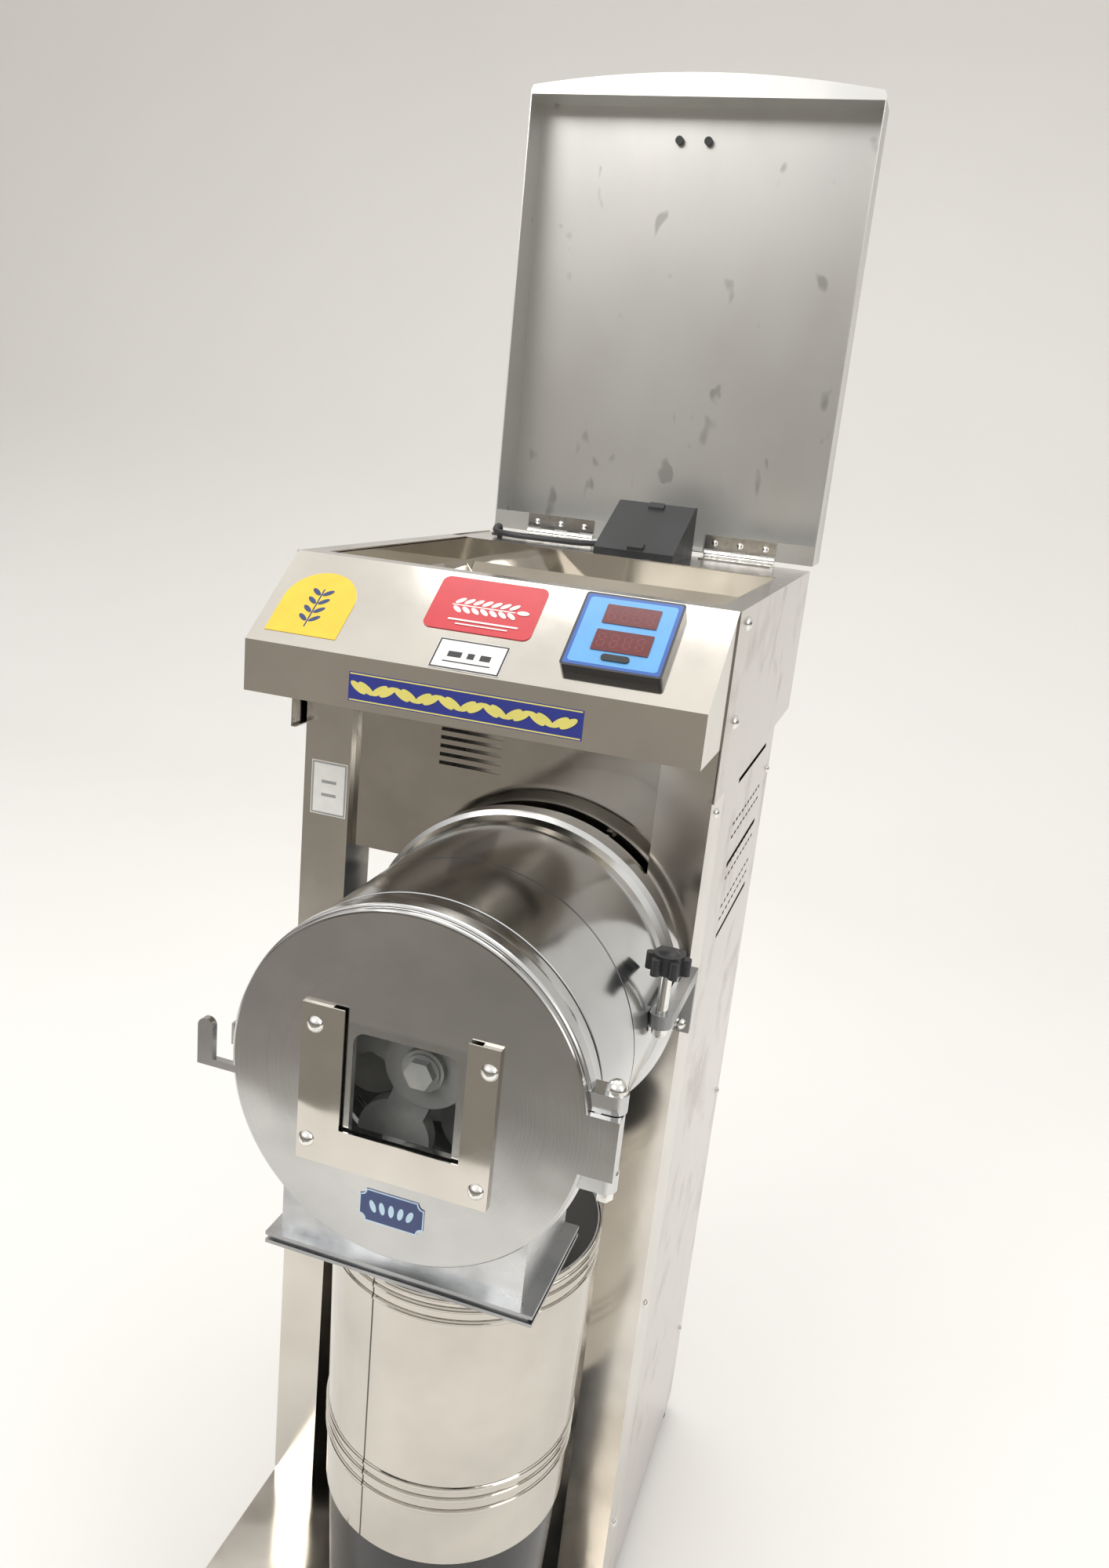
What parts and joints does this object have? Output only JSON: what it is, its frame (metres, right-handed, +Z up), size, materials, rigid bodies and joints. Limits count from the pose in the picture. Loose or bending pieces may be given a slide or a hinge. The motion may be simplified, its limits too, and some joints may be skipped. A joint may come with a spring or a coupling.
{
  "type": "hammer mill",
  "caption": "Stainless domestic hammer mill with a top hopper, hinged lid, round milling chamber with window door, discharge duct and flour container.",
  "frame": {"origin": "on the floor under the middle of the machine's bounding box, cord left out", "axes": "+Z up, +X to the machine's right seen from the front, -Y towards the user"},
  "size_m": [0.4282, 0.8272, 1.6579],
  "materials": {
    "polished_steel": "polished",
    "sheet_steel": "satin",
    "lid_steel": "satin, hand marks",
    "cast_aluminium": "machined and buffed",
    "rotor_iron": "ground",
    "motor_paint": "semi-gloss",
    "black_paint": "gloss",
    "bolt_steel": "polished",
    "black_plastic": "moulded",
    "foot_rubber": "matt",
    "cable_rubber": "matt",
    "display_face": "printed",
    "display_red": "smoked",
    "yellow_label": "printed vinyl",
    "red_label": "printed vinyl",
    "white_label": "printed vinyl",
    "blue_label": "printed vinyl",
    "clear_acrylic": "clear"
  },
  "bodies": {
    "cabinet": {"base_tray": "polished_steel", "rubber_feet": "foot_rubber", "left_post": "polished_steel", "right_post": "polished_steel", "left_side_panel": "sheet_steel", "right_side_panel": "sheet_steel", "rear_panel": "sheet_steel", "upper_shell": "sheet_steel", "console_shell": "polished_steel", "front_panel": "polished_steel", "rear_deck": "sheet_steel", "hopper": "polished_steel", "feed_chute": "sheet_steel", "panel_bolts": "bolt_steel", "deck_hinge_leaves": "bolt_steel", "junction_box": "black_plastic", "box_cable": "cable_rubber", "deck_grommet": "black_plastic", "display_housing": "display_face", "display_windows": "display_red", "display_nameplate": "black_plastic", "energy_label": "yellow_label", "badge_plate": "red_label", "rating_plate": "white_label", "fascia_strip": "blue_label", "post_label": "white_label", "motor_body": "motor_paint", "motor_end_bells": "motor_paint", "motor_terminal_box": "motor_paint", "motor_rails": "motor_paint", "housing_crossbar": "sheet_steel", "rear_housing": "cast_aluminium", "front_housing": "cast_aluminium", "back_plate": "cast_aluminium", "screen": "sheet_steel", "discharge_duct": "cast_aluminium", "outlet_flange": "cast_aluminium", "door_hinge_pin": "bolt_steel", "side_bracket": "cast_aluminium", "housing_bolts": "bolt_steel", "container_stand": "black_paint", "cord_gland": "black_plastic"},
    "lid": {"lid_shell": "lid_steel", "lid_hinge_leaves": "bolt_steel", "lid_handle": "black_plastic"},
    "door": {"door_disc": "cast_aluminium", "window_bracket": "polished_steel", "bracket_screws": "bolt_steel", "door_label": "blue_label"},
    "window": {"window_pane": "clear_acrylic"},
    "swing_bolt": {"swing_bolt": "bolt_steel"},
    "clamp_nut": {"clamp_nut": "black_plastic"},
    "rotor": {"rotor_hub": "rotor_iron", "beaters": "rotor_iron", "rotor_shaft": "bolt_steel"},
    "star_knob": {"star_knob": "black_plastic", "clamp_stud": "bolt_steel"},
    "container": {"flour_container": "polished_steel"},
    "feed_gate": {"feed_gate": "sheet_steel"}
  },
  "joints": [
    {"name": "lid_hinge", "type": "hinge", "parent": "cabinet", "child": "lid", "pos_m": [0.00165, 0.33395, 1.144], "axis": [1, 0, 0], "range_deg": [0, 90]},
    {"name": "door_hinge", "type": "hinge", "parent": "cabinet", "child": "door", "pos_m": [0.20065, -0.39005, 0.798], "axis": [0, 0, 1], "range_deg": [0, 110]},
    {"name": "window_slide", "type": "slide", "parent": "door", "child": "window", "axis": [0, 0, 1], "range_m": [0, 0.08]},
    {"name": "bolt_swing", "type": "hinge", "parent": "cabinet", "child": "swing_bolt", "pos_m": [-0.10285, -0.36205, 0.79], "axis": [1, 0, 0], "range_deg": [0, 180]},
    {"name": "nut_spin", "type": "hinge", "parent": "swing_bolt", "child": "clamp_nut", "pos_m": [-0.10285, -0.31005, 0.79], "axis": [0, 1, 0], "continuous": true},
    {"name": "rotor_spin", "type": "hinge", "parent": "cabinet", "child": "rotor", "pos_m": [0.04865, -0.30005, 0.798], "axis": [0, 1, 0], "continuous": true},
    {"name": "star_knob_spin", "type": "hinge", "parent": "cabinet", "child": "star_knob", "pos_m": [0.19565, -0.23005, 0.818], "axis": [0, 0, 1], "continuous": true},
    {"name": "container_slide", "type": "slide", "parent": "cabinet", "child": "container", "axis": [0, -1, 0], "range_m": [0, 0.35]},
    {"name": "feed_gate_slide", "type": "slide", "parent": "cabinet", "child": "feed_gate", "axis": [0, 1, 0], "range_m": [0, 0.07]}
  ]
}
